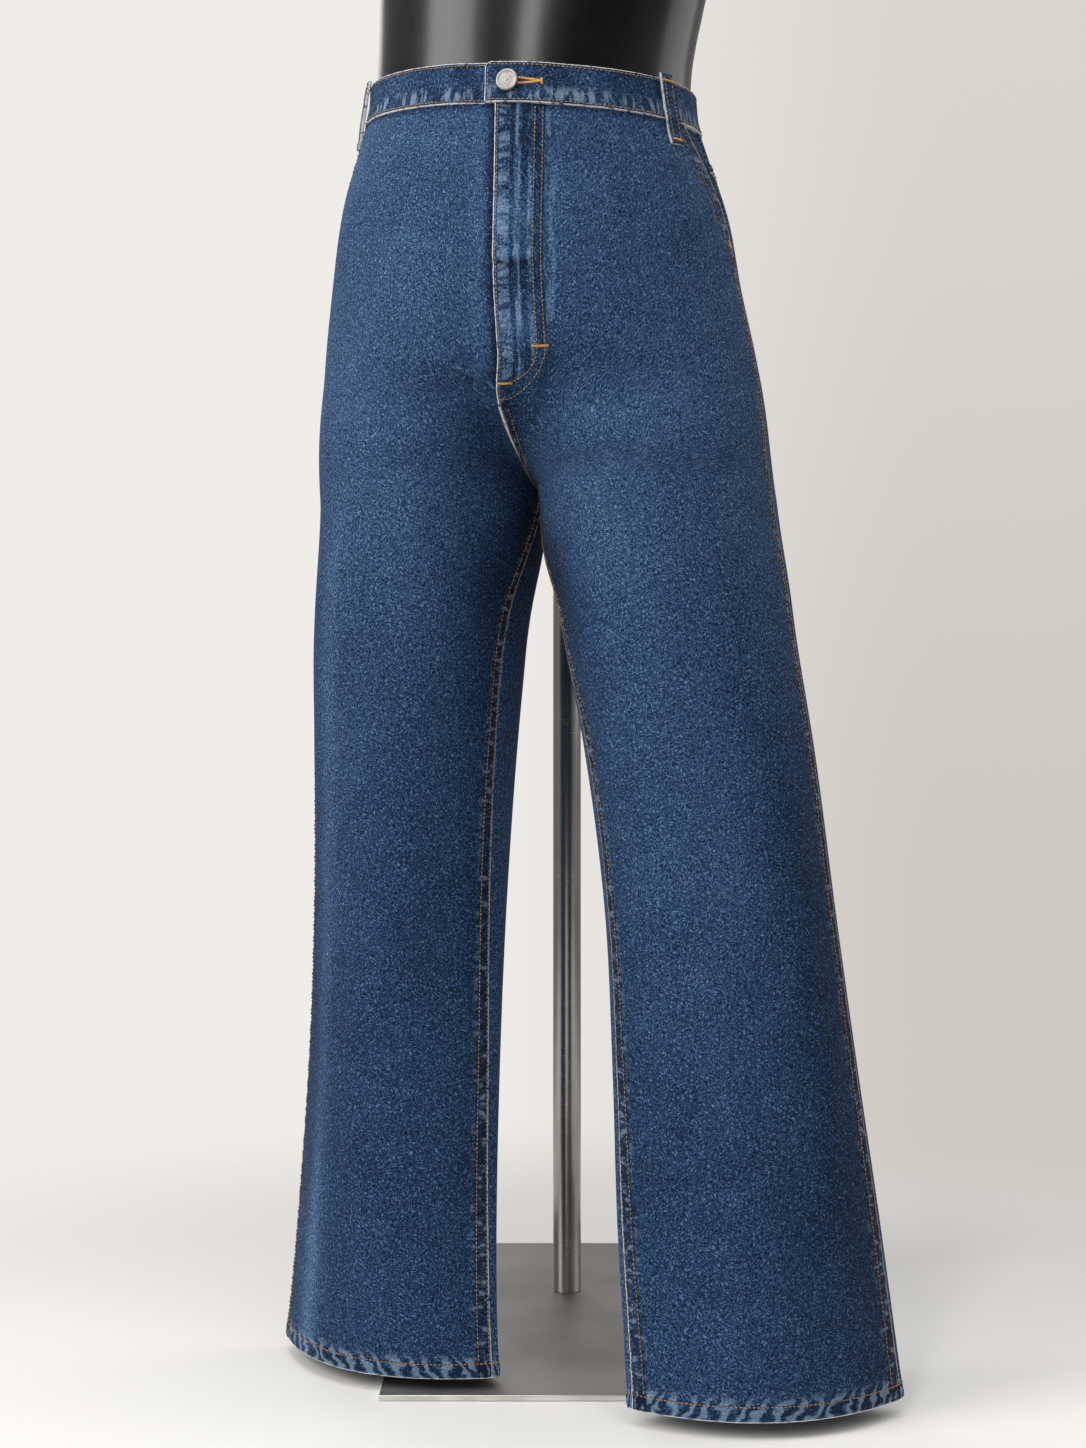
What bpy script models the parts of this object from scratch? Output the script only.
"""Wide-leg denim trousers of carpenter cut on a limbless display form with a pole stand.

Metres, +Z up. The wearer faces -Y and the wearer's left is +X. The origin is on the floor, under the
middle of the waist, on the underside of the base plate.
"""

import math

import bmesh
import bpy
import numpy as np
from mathutils import Matrix, Vector

# The cloth
CLOTH = 0.0015            # one layer of heavy denim
SEAM_GAP = 0.0003         # between the edges of two pieces at a seam, and between two layers
HEM_HEIGHT = 0.013        # the turned-up hem, double cloth
HEM_THICK = 0.0030
HEM_EDGE = 0.012          # the lowest edge of the legs, above the floor
CROTCH = 0.702            # where the four leg seams meet
BLEND_TOP = 0.800         # from here up both halves share one hip outline
BAND_BOTTOM = 0.9895      # the waistband, measured before the waist is tilted
BAND_TOP = 1.0215
BAND_OUT = 0.0012         # how far the band's face lies outside the cloth below it
BAND_THICK = 0.0030
WAIST_TILT = (-0.080, 0.055)    # rise of the waist for each metre towards +X and +Y

# The stance: one row for each section of a leg. The leg on the wearer's left is set out to the side.
LEG_COLUMNS = ("height", "centre_out", "centre_y", "half_width", "front", "back", "toe_out", "lens")
RIGHT_LEG = (
    (0.000, 0.1080, -0.0500, 0.1075, 0.0500, 0.0500, 15.0, 0.92),
    (0.060, 0.1065, -0.0470, 0.1015, 0.0510, 0.0520, 15.0, 0.86),
    (0.140, 0.1045, -0.0420, 0.0950, 0.0530, 0.0550, 14.0, 0.78),
    (0.250, 0.1020, -0.0340, 0.0885, 0.0570, 0.0600, 12.0, 0.70),
    (0.370, 0.1010, -0.0240, 0.0855, 0.0630, 0.0680, 10.0, 0.62),
    (0.500, 0.1005, -0.0120, 0.0865, 0.0740, 0.0800, 7.0, 0.56),
    (0.610, 0.0980, -0.0030, 0.0885, 0.0905, 0.0940, 3.0, 0.51),
    (0.702, 0.0940, 0.0030, 0.0905, 0.1020, 0.1060, 0.0, 0.48),
    (0.750, 0.0930, 0.0030, 0.0910, 0.1060, 0.1120, 0.0, 0.46),
    (0.800, 0.0920, 0.0030, 0.0920, 0.1100, 0.1200, 0.0, 0.46),
)
LEFT_LEG = (
    (0.000, 0.2040, -0.0710, 0.1050, 0.0440, 0.0500, 25.0, 0.92),
    (0.060, 0.1970, -0.0670, 0.1025, 0.0460, 0.0520, 24.0, 0.86),
    (0.140, 0.1872, -0.0600, 0.0993, 0.0490, 0.0550, 22.0, 0.78),
    (0.250, 0.1745, -0.0500, 0.0930, 0.0540, 0.0600, 19.0, 0.70),
    (0.370, 0.1595, -0.0370, 0.0880, 0.0600, 0.0670, 15.0, 0.62),
    (0.500, 0.1380, -0.0210, 0.0890, 0.0700, 0.0780, 10.0, 0.56),
    (0.610, 0.1140, -0.0070, 0.0915, 0.0880, 0.0940, 4.0, 0.51),
    (0.702, 0.0950, 0.0030, 0.0915, 0.1020, 0.1060, 0.0, 0.48),
    (0.750, 0.0930, 0.0030, 0.0915, 0.1060, 0.1120, 0.0, 0.46),
    (0.800, 0.0920, 0.0030, 0.0920, 0.1100, 0.1200, 0.0, 0.46),
)
HIP_COLUMNS = ("height", "centre_x", "centre_y", "half_width", "front", "back")
HIPS = (
    (0.690, 0.0050, 0.0030, 0.1840, 0.1130, 0.1200),
    (0.780, 0.0000, 0.0030, 0.1810, 0.1180, 0.1270),
    (0.860, -0.0035, 0.0020, 0.1690, 0.1190, 0.1260),
    (0.930, -0.0035, 0.0010, 0.1570, 0.1140, 0.1160),
    (0.975, -0.0035, 0.0000, 0.1420, 0.1090, 0.1070),
    (1.000, -0.0040, 0.0000, 0.1345, 0.1050, 0.1020),
    (1.030, -0.0040, 0.0000, 0.1315, 0.1030, 0.1000),
)
# Where the two leg seams of a side lie, in turns: 0 at the outer side, 1 and -1 between the legs
SEAM_COLUMNS = ("height", "inseam", "side_seam")
SEAMS = (
    (0.000, 0.080, -0.075),
    (0.250, 0.080, -0.075),
    (0.500, 0.090, -0.060),
    (0.620, 0.070, -0.030),
    (0.702, 0.000, -0.015),
    (0.900, 0.000, 0.000),
    (1.030, 0.000, 0.000),
)
# The curved front pocket edge: how far before the side seam it lies, in turns
POCKET_EDGE = ((0.885, 0.000), (0.905, 0.022), (0.930, 0.052), (0.955, 0.088), (0.975, 0.126), (0.990, 0.165))
POCKET_BOTTOM = 0.885


def between(table, heights):
    """The rows of a table at some heights, on smooth curves through its rows: one array a column."""
    rows = np.asarray(table, float)
    known = rows[:, 0]
    wanted = np.clip(np.asarray(heights, float), known[0], known[-1])
    i = np.clip(np.searchsorted(known, wanted) - 1, 0, len(known) - 2)
    slopes = np.gradient(rows, known, axis=0)
    step = (known[i + 1] - known[i])[..., None]
    t = (wanted - known[i])[..., None] / step
    values = (
        rows[i] * (2 * t**3 - 3 * t**2 + 1)
        + rows[i + 1] * (3 * t**2 - 2 * t**3)
        + slopes[i] * step * (t**3 - 2 * t**2 + t)
        + slopes[i + 1] * step * (t**3 - t**2)
    )
    return np.moveaxis(values, -1, 0)


def ease(value, low, high):
    """0 below low, 1 above high, and a smooth step between them."""
    t = np.clip((np.asarray(value, float) - low) / (high - low), 0, 1)
    return t * t * (3 - 2 * t)


def plane_of(height):
    """Where the plane between the two halves lies at some heights."""
    return between(HIPS, height)[1] * ease(height, 0.55, CROTCH)


def surface(side, turn, height, apart=0.0):
    """Points of one half of the trousers, side -1 for the wearer's right and 1 for the left.

    turn runs from -1 at the inseam or the centre front, round the outer side at 0, to 1 at the back.
    """
    turn = np.asarray(turn, float)
    height = np.asarray(height, float) + 0 * turn
    _, out, leg_y, half, front, back, toe, lens = between(LEFT_LEG if side > 0 else RIGHT_LEG, height)
    _, _, hip_y, hip_half, hip_front, hip_back = between(HIPS, height)
    toe = np.radians(toe)
    angle = -math.pi * turn
    across = half * np.cos(angle)
    sine = np.sin(angle)
    deep = np.where(sine > 0, -front, back) * np.maximum(np.abs(sine), 1e-9) ** (2 * lens)
    near_seam = np.minimum(np.abs(turn), 1.0) ** 6
    apart_at_top = (out - half * np.cos(toe)) * ease(height, 0.600, CROTCH)
    leg_out = out + across * np.cos(toe) - deep * np.sin(toe) - apart_at_top * near_seam
    leg_y = leg_y + across * np.sin(toe) + deep * np.cos(toe)
    within = np.clip(np.abs(turn), 0, 1)
    drawn = (1 - (1 - within) ** 1.5 - within) * (1 - ease(height, CROTCH, BLEND_TOP))
    hip_angle = -math.pi / 2 * (turn + np.sign(turn) * drawn)
    hip_out = hip_half * np.cos(hip_angle)
    half_sine = np.sin(hip_angle)
    hip_y = hip_y + np.where(half_sine > 0, -hip_front, -hip_back) * half_sine
    rise = np.clip((height - CROTCH) / (BLEND_TOP - CROTCH), 0, 1)
    at_seam = np.sin(math.pi / 2 * rise) ** 0.62
    share = ease(rise, 0, 1) * (1 - near_seam) + at_seam * near_seam
    x = plane_of(height) + side * (apart + leg_out * (1 - share) + hip_out * share)
    y = leg_y * (1 - share) + hip_y * share
    lift = ease(height, 0.80, 0.96)
    z = height + lift * (WAIST_TILT[0] * x + WAIST_TILT[1] * y)
    return np.stack([x, y, z], axis=-1)


# Blender objects from here on
FRONT_COLUMNS = (0.0, 0.035, 0.085, 0.14, 0.20, 0.30, 0.42, 0.54, 0.66, 0.76, 0.85, 0.93, 1.0)
BACK_COLUMNS = 13
LEG_HEIGHTS = (
    HEM_EDGE, 0.0185, HEM_EDGE + HEM_HEIGHT, HEM_EDGE + HEM_HEIGHT + 0.001,
    0.060, 0.110, 0.170, 0.230, 0.290, 0.350, 0.410, 0.470, 0.530, 0.580, 0.620, 0.652, 0.676, 0.692, CROTCH,
)
BLEND_ROWS = 8
FLY_WIDTH = 0.17          # in turns, the raised fly on the wearer's left front
FLY_RAISE = 0.0019
FLY_SHIFT = 0.028         # in turns, how far the fly edge lies past the middle
UNDERLAP = 0.045          # in turns, the right front goes this far under the left one
YOKE_SIDE = 0.958         # height of the yoke seam at the side seam
YOKE_BACK = 0.925         # and at the centre back

for obj in list(bpy.data.objects):
    bpy.data.objects.remove(obj, do_unlink=True)


def material(name, colour, metallic, roughness):
    """A plain surface colour for one object."""
    made = bpy.data.materials.new(name)
    made.use_nodes = True
    shader = made.node_tree.nodes["Principled BSDF"]
    shader.inputs["Base Color"].default_value = (*colour, 1)
    shader.inputs["Metallic"].default_value = metallic
    shader.inputs["Roughness"].default_value = roughness
    return made


DENIM = (0.055, 0.125, 0.29)
STEEL = (0.36, 0.35, 0.34)


def solid(name, vertices, faces, colour, metallic=0.0, roughness=0.85, smooth=True):
    """An object from vertices and faces, with its faces turned outwards."""
    mesh = bpy.data.meshes.new(name)
    mesh.from_pydata([tuple(v) for v in vertices], [], faces)
    made = bmesh.new()
    made.from_mesh(mesh)
    bmesh.ops.recalc_face_normals(made, faces=made.faces)
    made.to_mesh(mesh)
    made.free()
    obj = bpy.data.objects.new(name, mesh)
    bpy.context.collection.objects.link(obj)
    if smooth:
        mesh.shade_smooth()
        mesh.set_sharp_from_angle(angle=math.radians(40))
    mesh.materials.append(material(name, colour, metallic, roughness))
    return obj


def slab(name, outer, inner, colour=DENIM):
    """A closed sheet between two grids of points, rows by columns."""
    rows, columns = outer.shape[:2]
    vertices = np.concatenate([outer.reshape(-1, 3), inner.reshape(-1, 3)])
    back = rows * columns

    def at(i, j, layer):
        return layer * back + i * columns + j

    faces = []
    for i in range(rows - 1):
        for j in range(columns - 1):
            faces.append((at(i, j, 0), at(i, j + 1, 0), at(i + 1, j + 1, 0), at(i + 1, j, 0)))
            faces.append((at(i, j, 1), at(i + 1, j, 1), at(i + 1, j + 1, 1), at(i, j + 1, 1)))
    for i in range(rows - 1):
        for j in (0, columns - 1):
            faces.append((at(i, j, 0), at(i + 1, j, 0), at(i + 1, j, 1), at(i, j, 1)))
    for j in range(columns - 1):
        for i in (0, rows - 1):
            faces.append((at(i, j, 0), at(i, j, 1), at(i, j + 1, 1), at(i, j + 1, 0)))
    return solid(name, vertices, faces, colour)


def outward(side, turn, height, apart=0.0):
    """The points of the surface and their outward unit normals."""
    points = surface(side, turn, height, apart)
    small = 0.0008
    low = surface(side, turn, height - small / 4, apart)
    high = surface(side, turn, height + small / 4, apart)
    ahead = surface(side, turn + small, height, apart)
    behind = surface(side, turn - small, height, apart)
    normal = np.cross(ahead - behind, high - low) * side
    length = np.linalg.norm(normal, axis=-1, keepdims=True)
    return points, normal / np.maximum(length, 1e-12)


def cloth(name, side, turn, height, out=0.0, thick=CLOTH, apart=0.0):
    """One cut piece that lies on the surface, moved out and given its thickness inwards."""
    points, normal = outward(side, turn, height, apart)
    out = (np.asarray(out, float) + 0 * turn)[..., None]
    thick = (np.asarray(thick, float) + 0 * turn)[..., None]
    layers = [points + normal * out, points + normal * (out - thick)]
    if apart:
        plane = plane_of(height + 0 * turn)
        for layer in layers:
            inside = np.maximum(side * (layer[..., 0] - plane), apart)
            own_half = (np.abs(turn) <= 1) | (height < 0.750)
            layer[..., 0] = np.where(own_half, plane + side * inside, layer[..., 0])
    return slab(name, *layers)


def width_of(side, turn, height):
    """Metres of cloth for each turn, at the points of a seam."""
    step = surface(side, turn + 0.004, height) - surface(side, turn - 0.004, height)
    return np.maximum(np.linalg.norm(step, axis=-1) / 0.008, 0.05)


def seam_turns(side, heights):
    """The inseam and the side seam at some heights, in turns."""
    _, inseam, side_seam = between(SEAMS, heights)
    inseam = np.where(heights >= CROTCH, 0.0, np.maximum(inseam, 0.0))
    return -1.0 + inseam, side_seam


def pocket_turn(heights):
    """How far before the side seam the pocket edge lies."""
    return between(POCKET_EDGE, heights)[1] * (heights > POCKET_BOTTOM)


def shared_heights():
    """The rows that the front and back panels have in common, up to the lowest point of the pocket."""
    blend = CROTCH + (BLEND_TOP - CROTCH) * (np.arange(1, BLEND_ROWS - 1) / (BLEND_ROWS - 1)) ** 2
    return np.array([*LEG_HEIGHTS, *blend, 0.788, 0.804, 0.840, POCKET_BOTTOM])


HALF_GAP = SEAM_GAP / 2
hem_top = HEM_EDGE + HEM_HEIGHT + 0.0005

# Front panels: cut away along the pocket edge, the left one over the right one at the fly
for side, word in ((-1, "right"), (1, "left")):
    heights = np.array([*shared_heights(), 0.905, 0.930, 0.955, 0.974, BAND_BOTTOM - SEAM_GAP])
    inner, outer = seam_turns(side, heights)
    inner = inner + HALF_GAP / width_of(side, inner, heights) * (heights <= CROTCH) * 2
    inner = inner + side * FLY_SHIFT * ease(heights, 0.755, 0.795)
    if side < 0:
        inner = inner - UNDERLAP * ease(heights, 0.800, 0.830)
    outer = outer - HALF_GAP / width_of(side, outer, heights) - pocket_turn(heights)
    across = np.array(FRONT_COLUMNS)[None, :]
    turn = inner[:, None] + (outer - inner)[:, None] * across
    height = heights[:, None] + 0 * turn
    out = 0.0 * turn
    if side > 0:
        on_fly = 1 - ease(turn, -1 + FLY_WIDTH - 0.02, -1 + FLY_WIDTH + 0.02)
        out = FLY_RAISE * on_fly * ease(height, 0.722, 0.750)
    thick = np.where(height < hem_top, HEM_THICK, CLOTH)
    cloth(f"front_panel_{word}", side, turn, height, out, thick, apart=HALF_GAP)

# The pocket facings, under the pocket edge
for side, word in ((-1, "right"), (1, "left")):
    heights = np.array([POCKET_BOTTOM - 0.006, 0.897, 0.912, 0.930, 0.950, 0.970, BAND_BOTTOM - SEAM_GAP])
    _, outer = seam_turns(side, heights)
    outer = outer - HALF_GAP / width_of(side, outer, heights)
    inner = outer - pocket_turn(heights) - 0.050
    turn = inner[:, None] + (outer - inner)[:, None] * np.linspace(0, 1, 6)[None, :]
    height = heights[:, None] + 0 * turn
    cloth(f"pocket_facing_{word}", side, turn, height, -CLOTH - 0.0008, CLOTH, apart=HALF_GAP)

# Back panels up to the yoke seam, and the yokes above them
for side, word in ((-1, "right"), (1, "left")):
    heights = shared_heights()
    inseam, side_seam = seam_turns(side, heights)
    start = side_seam + HALF_GAP / width_of(side, side_seam, heights)
    end = inseam + 2 - HALF_GAP / width_of(side, inseam, heights) * (heights <= CROTCH) * 2
    across = np.linspace(0, 1, BACK_COLUMNS)[None, :]
    turn = start[:, None] + (end - start)[:, None] * across
    height = heights[:, None] + 0 * turn
    yoke = YOKE_SIDE + (YOKE_BACK - YOKE_SIDE) * across[0]
    for share in (0.5, 1.0):
        top = POCKET_BOTTOM + (yoke - POCKET_BOTTOM) * share - HALF_GAP * (share == 1.0)
        turn = np.vstack([turn, turn[-1]])
        height = np.vstack([height, top])
    thick = np.where(height < hem_top, HEM_THICK, CLOTH)
    cloth(f"back_panel_{word}", side, turn, height, 0.0, thick, apart=HALF_GAP)
    low = yoke + HALF_GAP
    high = BAND_BOTTOM - SEAM_GAP
    height = np.vstack([low + (high - low) * share for share in (0, 0.35, 0.7, 1.0)])
    turn = np.vstack([turn[-1]] * 4)
    cloth(f"back_yoke_{word}", side, turn, height, 0.0, CLOTH, apart=HALF_GAP)

# The waistband: one strip round the waist, its left end over its right end at the front
band_turns = np.concatenate([
    (-1.012, -1.006, -1.0, -0.985), np.linspace(-0.96, -0.70, 7), np.linspace(-0.64, 2.80, 56),
    np.linspace(2.85, 3.16, 9),
])
over = 1 - ease(band_turns, -0.83, -0.70)
under = ease(band_turns, 2.84, 2.97)
band_out = BAND_OUT + 0.0017 * over - 0.0017 * under
corner = np.clip((-0.985 - band_turns) / 0.027, 0, 1)
band_top = BAND_TOP - 0.005 * (1 - np.sqrt(1 - corner**2))
height = np.vstack([BAND_BOTTOM + 0.0002 + (band_top - BAND_BOTTOM - 0.0002) * s for s in (0, 0.5, 1.0)])
turn = np.vstack([band_turns] * 3)
cloth("waistband", 1, turn, height, np.vstack([band_out] * 3), BAND_THICK)


def band_place(turn, height, out):
    """A point on the waist, its outward normal and the two directions along the cloth."""
    points, normals = outward(1, np.array([turn]), np.array([height]))
    above = surface(1, np.array([turn]), np.array([height + 0.002]))
    up = Vector(above[0] - points[0]).normalized()
    normal = Vector(normals[0])
    along = up.cross(normal).normalized()
    return Vector(points[0]) + normal * out, normal, up, along


# Five belt loops: two in front, two behind the sides and one at the centre back
LOOP_COLUMNS = ("name", "turn")
LOOPS = (
    ("belt_loop_front_right", 2.22), ("belt_loop_front_left", -0.27), ("belt_loop_back_right", 1.55),
    ("belt_loop_back_left", 0.45), ("belt_loop_centre_back", 1.0),
)
LOOP_WIDTH = 0.012
LOOP_THICK = 0.0022
LOOP_PATH = (
    (0.9700, 0.0006), (0.9770, 0.0006), (0.9850, 0.0022), (0.9950, 0.0034), (1.0070, 0.0036),
    (1.0170, 0.0030), (1.0220, 0.0020), (1.0250, 0.0020),
)
for name, middle in LOOPS:
    path = np.array(LOOP_PATH)
    reach = LOOP_WIDTH / 2 / width_of(1, np.array([middle]), np.array([1.0]))[0]
    turn = np.array([middle - reach, middle, middle + reach])[None, :] + 0 * path[:, :1]
    height = path[:, :1] + 0 * turn
    out = path[:, 1:] + LOOP_THICK + 0 * turn
    raised = 0.0017 * (1 - ease(turn, -0.83, -0.70))
    cloth(name, 1, turn, height, out + raised, LOOP_THICK)


def turned(name, profile, frame, colour, metallic, roughness, steps=28):
    """A round piece from radii and heights, turned about the normal of a place."""
    centre, normal, up, along = frame
    vertices = []
    faces = []
    for radius, height in profile[1:-1]:
        for k in range(steps):
            angle = 2 * math.pi * k / steps
            spoke = along * math.cos(angle) + up * math.sin(angle)
            vertices.append(centre + normal * height + spoke * radius)
    rings = len(profile) - 2
    for i in range(rings - 1):
        for k in range(steps):
            n = (k + 1) % steps
            faces.append((i * steps + k, i * steps + n, (i + 1) * steps + n, (i + 1) * steps + k))
    first = len(vertices)
    vertices.append(centre + normal * profile[0][1])
    vertices.append(centre + normal * profile[-1][1])
    for k in range(steps):
        n = (k + 1) % steps
        faces.append((first, n, k))
        faces.append((first + 1, (rings - 1) * steps + k, (rings - 1) * steps + n))
    return solid(name, vertices, faces, colour, metallic, roughness)


# The button, on the overlapping end of the waistband
BUTTON_TURN = -0.926
BUTTON_PROFILE = (
    (0, 0), (0.0032, 0), (0.0034, 0.0009), (0.0074, 0.0011), (0.0084, 0.0016), (0.0085, 0.0022),
    (0.0081, 0.0028), (0.0070, 0.0031), (0.0063, 0.0030), (0.0058, 0.0026), (0.0036, 0.0026),
    (0.0032, 0.0028), (0.0014, 0.0028), (0.0010, 0.0031), (0, 0.0032),
)
button_place = band_place(BUTTON_TURN, 1.0060, BAND_OUT + 0.0017 + 0.0004)
turned("button", BUTTON_PROFILE, button_place, (0.52, 0.50, 0.47), 1.0, 0.32)


def patch(name, side, turns, heights, out, thick=CLOTH):
    """A piece laid on a panel, from the panel's own points moved out."""
    cloth(name, side, turns, heights, out + thick, thick, apart=HALF_GAP)


# Back patch pockets, one on each back panel
for side, word in ((-1, "right"), (1, "left")):
    across = np.linspace(-1, 1, 11)[None, :]
    down = np.linspace(0, 1, 10)[:, None]
    top = 0.924 - 0.004 * across
    bottom = 0.790 + 0.018 * np.abs(across)
    height = bottom + (top - bottom) * down
    turn = 0.53 + (0.255 + 0.030 * down) * across
    patch(f"back_pocket_{word}", side, turn, height, 0.0009)

# The tool pocket and the hammer loop of the carpenter cut, behind the side seam of the right leg
across = np.linspace(-1, 1, 6)[None, :]
down = np.linspace(0, 1, 9)[:, None]
TOOL_LOW = 0.410
TOOL_HIGH = 0.590
height = TOOL_LOW + (TOOL_HIGH - TOOL_LOW) * down + 0 * across
turn = 0.185 + (0.120 + 0 * down) * across
patch("tool_pocket", -1, turn, height, 0.0006)

loop_path = np.array([
    (0.020, 0.672, 0.0006), (0.050, 0.660, 0.0010), (0.085, 0.645, 0.0060), (0.120, 0.628, 0.0100),
    (0.155, 0.611, 0.0100), (0.190, 0.594, 0.0065), (0.215, 0.580, 0.0030), (0.240, 0.566, 0.0026),
])
wide = np.linspace(-1, 1, 3)[None, :]
turn = loop_path[:, :1] + 0.050 * wide * 0.55
height = loop_path[:, 1:2] + 0.0115 * wide
turn = np.maximum(turn, 0.006)
patch("hammer_loop", -1, turn, height, loop_path[:, 2:] + 0 * wide, 0.0024)

# The display form: a smooth limbless body with a plain rounded end above and below
FORM_COLUMNS = ("height", "centre_x", "centre_y", "half_width", "front", "back")
FORM = (
    (0.756, 0.0000, 0.0040, 0.0600, 0.0360, 0.0400),
    (0.760, 0.0000, 0.0040, 0.0900, 0.0600, 0.0640),
    (0.772, 0.0000, 0.0040, 0.1180, 0.0820, 0.0860),
    (0.795, -0.0010, 0.0035, 0.1400, 0.0970, 0.1020),
    (0.825, -0.0020, 0.0030, 0.1520, 0.1050, 0.1100),
    (0.860, -0.0030, 0.0020, 0.1560, 0.1080, 0.1130),
    (0.900, -0.0035, 0.0015, 0.1505, 0.1080, 0.1110),
    (0.930, -0.0035, 0.0010, 0.1460, 0.1060, 0.1080),
    (0.955, -0.0035, 0.0005, 0.1405, 0.1045, 0.1050),
    (0.975, -0.0035, 0.0000, 0.1355, 0.1030, 0.1030),
    (0.990, -0.0040, 0.0000, 0.1322, 0.1018, 0.1010),
    (1.000, -0.0040, 0.0000, 0.1310, 0.1007, 0.0994),
    (1.010, -0.0040, 0.0000, 0.1303, 0.1000, 0.0985),
    (1.022, -0.0040, 0.0000, 0.1292, 0.0992, 0.0977),
    (1.040, -0.0030, 0.0000, 0.1290, 0.0985, 0.0970),
    (1.065, -0.0005, 0.0000, 0.1305, 0.0985, 0.0970),
    (1.090, 0.0025, 0.0000, 0.1330, 0.0990, 0.0975),
    (1.112, 0.0050, 0.0000, 0.1345, 0.0990, 0.0975),
    (1.126, 0.0062, 0.0000, 0.1320, 0.0965, 0.0950),
    (1.135, 0.0070, 0.0000, 0.1250, 0.0900, 0.0885),
    (1.140, 0.0072, 0.0000, 0.1120, 0.0790, 0.0780),
    (1.142, 0.0072, 0.0000, 0.0900, 0.0620, 0.0610),
)
FORM_STEPS = 48
vertices = []
for height, centre_x, centre_y, half, front, back in FORM:
    lift = float(ease(height, 0.80, 0.96))
    for k in range(FORM_STEPS):
        angle = 2 * math.pi * k / FORM_STEPS
        x = centre_x + half * math.cos(angle)
        y = centre_y + (back if math.sin(angle) > 0 else front) * math.sin(angle)
        vertices.append((x, y, height + lift * (WAIST_TILT[0] * x + WAIST_TILT[1] * y)))
faces = [tuple(range(FORM_STEPS)), tuple(range((len(FORM) - 1) * FORM_STEPS, len(FORM) * FORM_STEPS))]
for i in range(len(FORM) - 1):
    for k in range(FORM_STEPS):
        n = (k + 1) % FORM_STEPS
        low = i * FORM_STEPS
        faces.append((low + k, low + n, low + FORM_STEPS + n, low + FORM_STEPS + k))
form = solid("form", vertices, faces, (0.012, 0.012, 0.013), 0.0, 0.12)

# The stand: a thin steel plate, and a round pole behind the form with an arm into its back
STAND_TURN = math.radians(18.0)
PLATE = (0.293, 0.449, 0.0045)
PLATE_CENTRE = (-0.0160, 0.1357)
POLE_AT = (-0.0349, 0.1937)
POLE_RADIUS = 0.0125
POLE_TOP = 1.108
ARM_RADIUS = 0.0100
ARM_HEIGHT = 1.088
ARM_END = 0.060
ARM_CLEAR = 0.0003


def rod(name, radius, start, end, colour, steps=32):
    """A round bar between two points."""
    start = Vector(start)
    end = Vector(end)
    made = bmesh.new()
    length = (end - start).length
    turn = (end - start).to_track_quat("Z", "Y").to_matrix().to_4x4()
    place = Matrix.Translation((start + end) / 2) @ turn
    bmesh.ops.create_cone(
        made, cap_ends=True, segments=steps, radius1=radius, radius2=radius, depth=length, matrix=place
    )
    mesh = bpy.data.meshes.new(name)
    made.to_mesh(mesh)
    made.free()
    obj = bpy.data.objects.new(name, mesh)
    bpy.context.collection.objects.link(obj)
    mesh.shade_smooth()
    mesh.set_sharp_from_angle(angle=math.radians(40))
    mesh.materials.append(material(name, colour, 1.0, 0.3))
    return obj


def joined(obj, other, how):
    """Join another solid to one, or cut it away, and remove the other."""
    step = obj.modifiers.new(how.lower(), "BOOLEAN")
    step.operation = how
    step.solver = "EXACT"
    step.object = other
    bpy.context.view_layer.update()
    result = bpy.data.meshes.new_from_object(obj.evaluated_get(bpy.context.evaluated_depsgraph_get()))
    obj.modifiers.clear()
    old = obj.data
    obj.data = result
    bpy.data.meshes.remove(old)
    bpy.data.objects.remove(other, do_unlink=True)
    obj.data.name = obj.name


corners = []
for z in (0.0, PLATE[2]):
    for sx, sy in ((-1, -1), (1, -1), (1, 1), (-1, 1)):
        x = sx * PLATE[0] / 2
        y = sy * PLATE[1] / 2
        corners.append((
            PLATE_CENTRE[0] + x * math.cos(STAND_TURN) - y * math.sin(STAND_TURN),
            PLATE_CENTRE[1] + x * math.sin(STAND_TURN) + y * math.cos(STAND_TURN),
            z,
        ))
box_faces = [(0, 1, 2, 3), (4, 5, 6, 7), (0, 1, 5, 4), (1, 2, 6, 5), (2, 3, 7, 6), (3, 0, 4, 7)]
solid("base_plate", corners, box_faces, (0.21, 0.205, 0.20), 1.0, 0.38, smooth=False)

pole = rod("pole", POLE_RADIUS, (*POLE_AT, PLATE[2]), (*POLE_AT, POLE_TOP), STEEL)
arm = rod("arm_part", ARM_RADIUS, (*POLE_AT, ARM_HEIGHT), (POLE_AT[0], ARM_END, ARM_HEIGHT), STEEL, steps=24)
joined(pole, arm, "UNION")

socket = rod(
    "socket_cut", ARM_RADIUS + ARM_CLEAR, (POLE_AT[0], 0.150, ARM_HEIGHT),
    (POLE_AT[0], ARM_END - ARM_CLEAR, ARM_HEIGHT), STEEL, steps=24,
)
joined(form, socket, "DIFFERENCE")
for obj in (form, pole):
    obj.data.shade_smooth()
    obj.data.set_sharp_from_angle(angle=math.radians(40))
